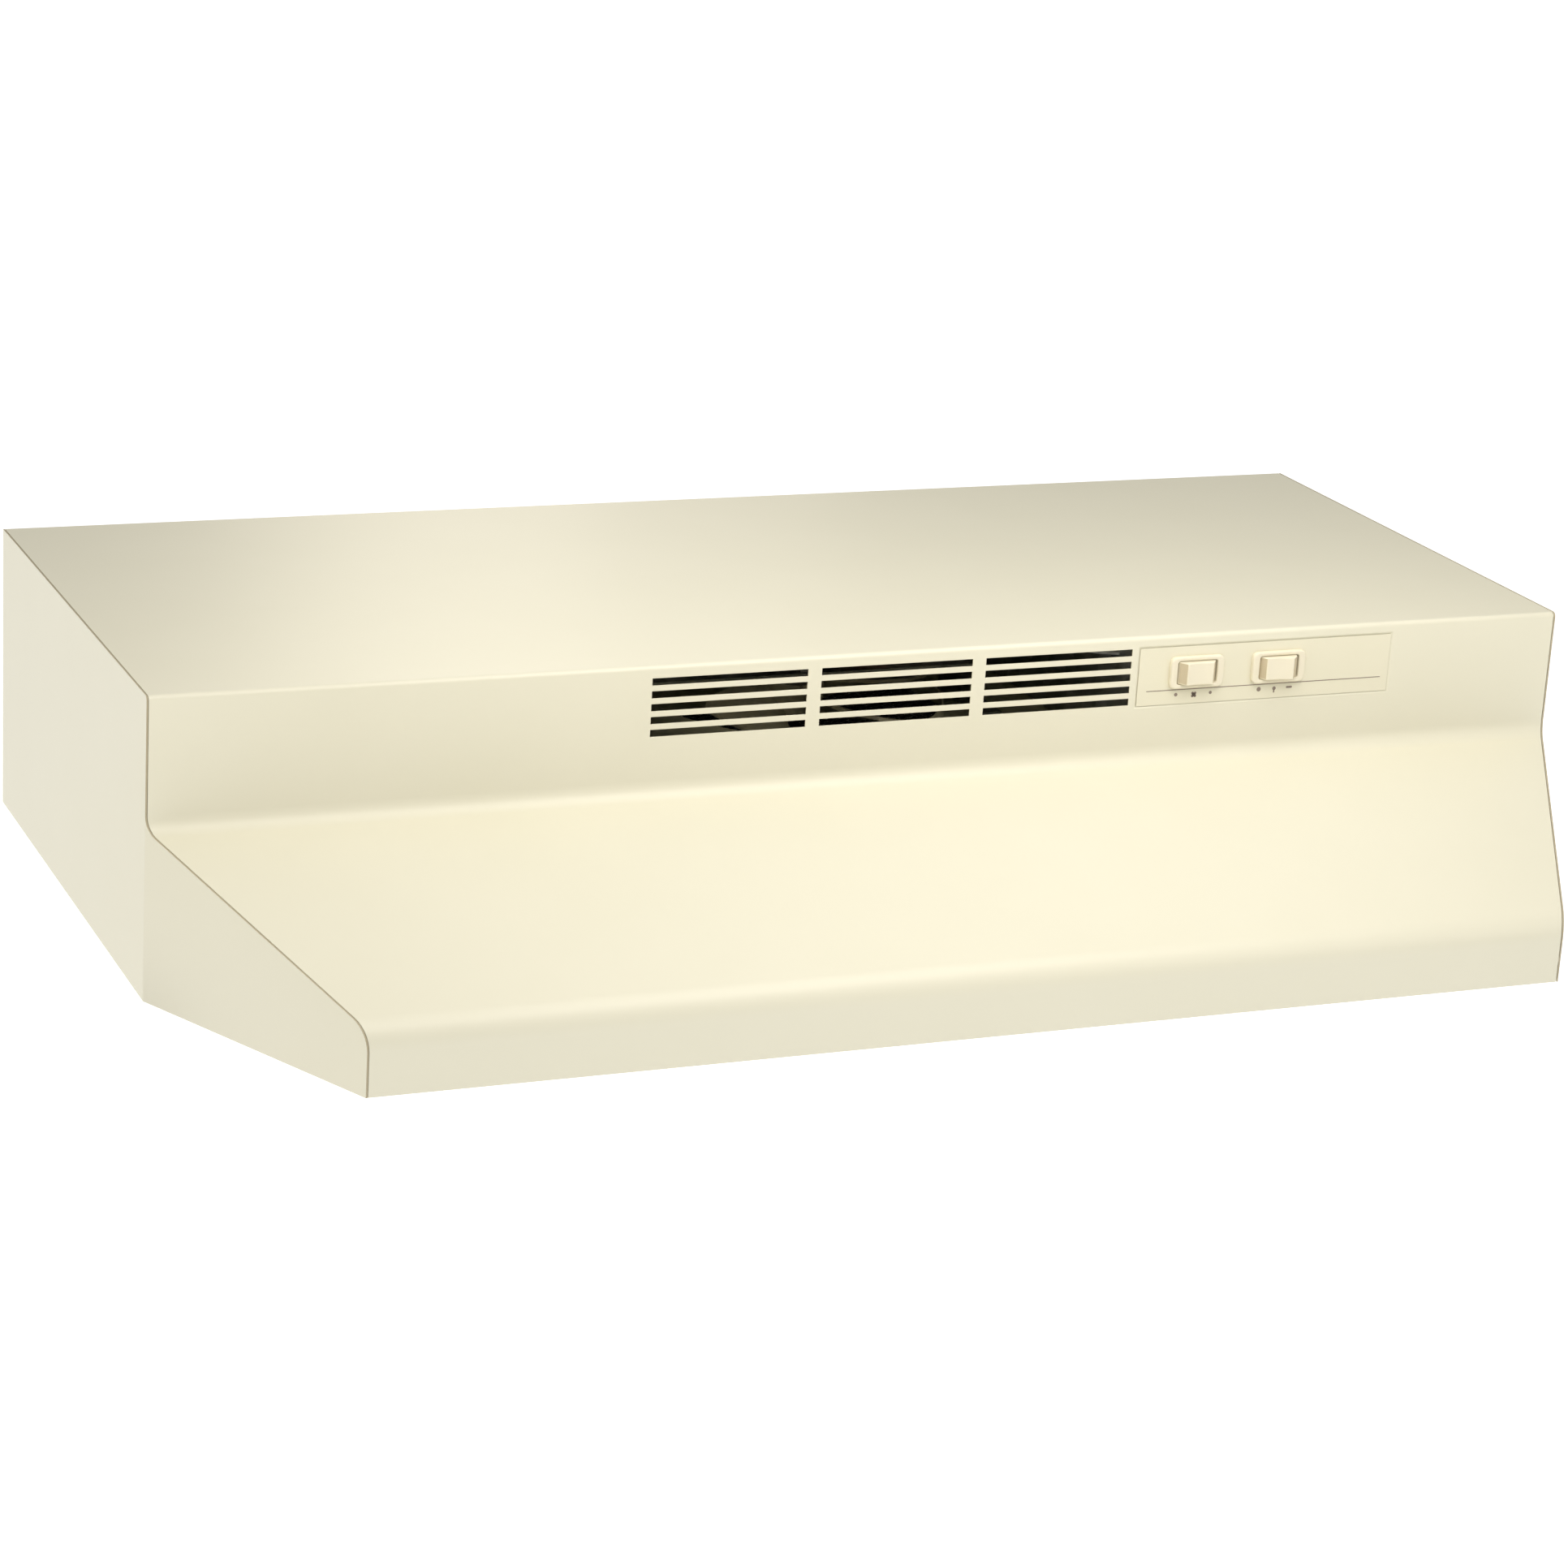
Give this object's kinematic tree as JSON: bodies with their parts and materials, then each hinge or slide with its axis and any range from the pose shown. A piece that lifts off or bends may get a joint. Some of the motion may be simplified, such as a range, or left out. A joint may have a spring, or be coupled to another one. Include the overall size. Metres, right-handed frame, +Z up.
{
  "type": "under cabinet range hood",
  "caption": "Recirculating under cabinet range hood with front louvres, a sloped visor with mitred ends, rocker switches, a fan, a drop-down filter and a lamp.",
  "frame": {"origin": "centre of the top face, which is screwed up against the cabinet floor", "axes": "+X to the right of a person facing the hood, -Y towards that person, +Z up"},
  "size_m": [0.762, 0.4445, 0.151],
  "materials": {
    "almond_enamel": "baked almond enamel, satin gloss",
    "almond_plastic": "moulded almond plastic, soft gloss",
    "label_film": "printed film, matte",
    "galvanised_steel": "zinc coated sheet steel",
    "aluminium": "mill finish",
    "plain_steel": "zinc plated steel",
    "core_steel": "varnished lamination stack",
    "copper_winding": "enamelled copper winding under tape",
    "bronze": "sintered bronze",
    "brass": "pressed brass",
    "charcoal": "granular charcoal pad, matt",
    "porcelain": "glazed white porcelain",
    "bulb_glass": "frosted glass",
    "lens_plastic": "translucent white plastic",
    "black_wire": "black insulation",
    "white_wire": "white insulation",
    "red_wire": "red insulation",
    "connector_plastic": "orange moulded plastic",
    "green_steel": "green chromate steel"
  },
  "bodies": {
    "hood": {"hood_wrap": "almond_enamel", "left_end_panel": "almond_enamel", "right_end_panel": "almond_enamel", "back_panel": "almond_enamel", "orifice_plate": "almond_enamel", "fan_switch_body": "almond_plastic", "light_switch_body": "almond_plastic", "control_label": "label_film", "fan_chamber": "galvanised_steel", "motor_bracket": "galvanised_steel", "filter_rail": "galvanised_steel", "lamp_housing": "galvanised_steel", "socket_bracket": "galvanised_steel", "wiring_box": "galvanised_steel", "wiring_box_cover": "galvanised_steel", "wire_cover": "galvanised_steel", "upper_bearing_bracket": "aluminium", "lower_bearing_bracket": "aluminium", "plate_screw_1": "plain_steel", "plate_screw_2": "plain_steel", "plate_screw_3": "plain_steel", "plate_screw_4": "plain_steel", "motor_bolt_1": "plain_steel", "motor_bolt_2": "plain_steel", "bracket_screw_1": "plain_steel", "bracket_screw_2": "plain_steel", "filter_clip_left": "plain_steel", "filter_clip_right": "plain_steel", "rail_screw_1": "plain_steel", "rail_screw_2": "plain_steel", "wiring_cover_screw": "plain_steel", "stator_core": "core_steel", "stator_coil": "copper_winding", "upper_bearing": "bronze", "lower_bearing": "bronze", "socket_shell": "brass", "lamp_socket": "porcelain", "fan_switch_lead": "black_wire", "light_switch_lead": "black_wire", "motor_return_lead": "white_wire", "lamp_return_lead": "white_wire", "motor_supply_lead": "red_wire", "lamp_supply_lead": "red_wire", "black_wire_connector": "connector_plastic", "white_wire_connector": "connector_plastic", "ground_screw": "green_steel"},
    "fan": {"rotor": "plain_steel", "motor_shaft": "plain_steel", "fan_blade": "almond_plastic", "blade_clip": "plain_steel"},
    "fan_switch": {"fan_switch_rocker": "almond_plastic"},
    "light_switch": {"light_switch_rocker": "almond_plastic"},
    "filter": {"filter_frame": "aluminium", "filter_grease_mesh": "aluminium", "filter_charcoal_pad": "charcoal", "filter_back_mesh": "aluminium", "filter_pull_tab": "aluminium"},
    "lens": {"light_lens": "lens_plastic"},
    "bulb": {"bulb_glass": "bulb_glass", "bulb_base": "aluminium"}
  },
  "joints": [
    {"name": "fan_spin", "type": "hinge", "parent": "hood", "child": "fan", "pos_m": [0, -0.02, -0.061], "axis": [0, 0, 1], "continuous": true},
    {"name": "fan_rocker", "type": "hinge", "parent": "hood", "child": "fan_switch", "pos_m": [0.1678, -0.149, -0.0199], "axis": [0, 0, 1], "range_deg": [-7, 7]},
    {"name": "light_rocker", "type": "hinge", "parent": "hood", "child": "light_switch", "pos_m": [0.2152, -0.149, -0.0199], "axis": [0, 0, 1], "range_deg": [0, 14]},
    {"name": "filter_swing", "type": "hinge", "parent": "hood", "child": "filter", "pos_m": [0, 0.083, -0.0867], "axis": [1, 0, 0], "range_deg": [0, 70]},
    {"name": "lens_release", "type": "slide", "parent": "hood", "child": "lens", "axis": [0, 0, -1], "range_m": [0, 0.09]},
    {"name": "bulb_release", "type": "slide", "parent": "hood", "child": "bulb", "axis": [0, -1, 0], "range_m": [0, 0.03]}
  ]
}
